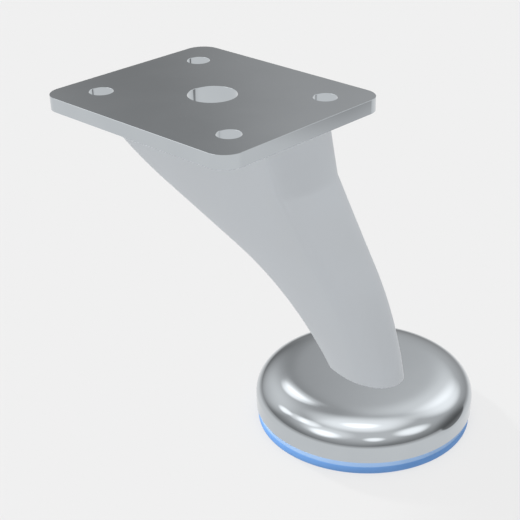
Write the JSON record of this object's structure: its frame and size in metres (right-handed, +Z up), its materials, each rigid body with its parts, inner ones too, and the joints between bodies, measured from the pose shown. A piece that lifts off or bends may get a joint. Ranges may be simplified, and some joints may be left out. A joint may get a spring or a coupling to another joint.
{
  "type": "sofa leg",
  "caption": "Short leaning metal sofa leg: a flat mounting plate with screw holes and a socket, a curved tapering column, and a round foot on a plastic glide.",
  "frame": {"origin": "middle of the mounting plate's top face, which is screwed up against the seat frame", "axes": "+Z up, out of the plate's top face; +X along the plate's length, the way the column leans out to the foot"},
  "size_m": [0.122, 0.0624, 0.08],
  "materials": {
    "polished_metal": "polished casting, bright on the foot and smooth on the column and plate",
    "glide_plastic": "satin moulded plastic"
  },
  "bodies": {
    "root": {"leg": "polished_metal", "glide": "glide_plastic"}
  },
  "joints": []
}
